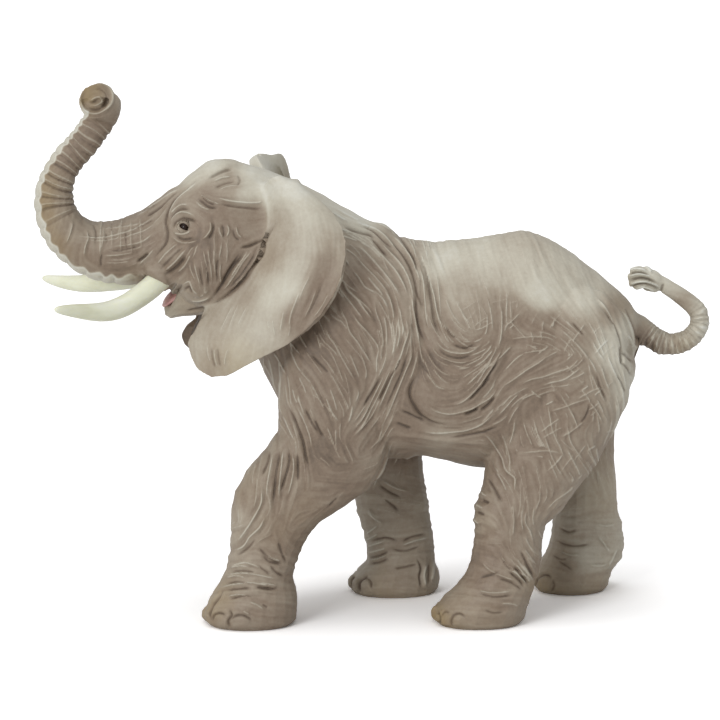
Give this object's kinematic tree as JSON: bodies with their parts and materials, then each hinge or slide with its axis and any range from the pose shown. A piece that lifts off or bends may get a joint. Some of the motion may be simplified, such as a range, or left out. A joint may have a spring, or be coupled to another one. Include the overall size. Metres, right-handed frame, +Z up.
{
  "type": "toy elephant figure",
  "caption": "Moulded toy African elephant striding with its trunk raised, ears spread and tail curled; it stands on its feet.",
  "frame": {"origin": "middle of the figure's box, on the floor that its soles stand on", "axes": "+Z up; the animal faces -X, its left side is -Y and its tail points to +X"},
  "size_m": [0.2108, 0.0848, 0.1664],
  "materials": {
    "skin": "painted vinyl, satin matt",
    "ear_skin": "painted vinyl, satin matt",
    "ivory": "satin",
    "tongue_pink": "satin",
    "eye_black": "gloss"
  },
  "bodies": {
    "root": {"torso_left_half": "skin", "torso_right_half": "skin", "head": "skin", "trunk": "skin", "lower_jaw": "skin", "front_left_leg": "skin", "front_right_leg": "skin", "rear_left_leg": "skin", "rear_right_leg": "skin", "tail": "skin", "left_ear": "ear_skin", "right_ear": "ear_skin", "left_tusk": "ivory", "right_tusk": "ivory", "tongue": "tongue_pink", "left_eye": "eye_black", "right_eye": "eye_black"}
  },
  "joints": []
}
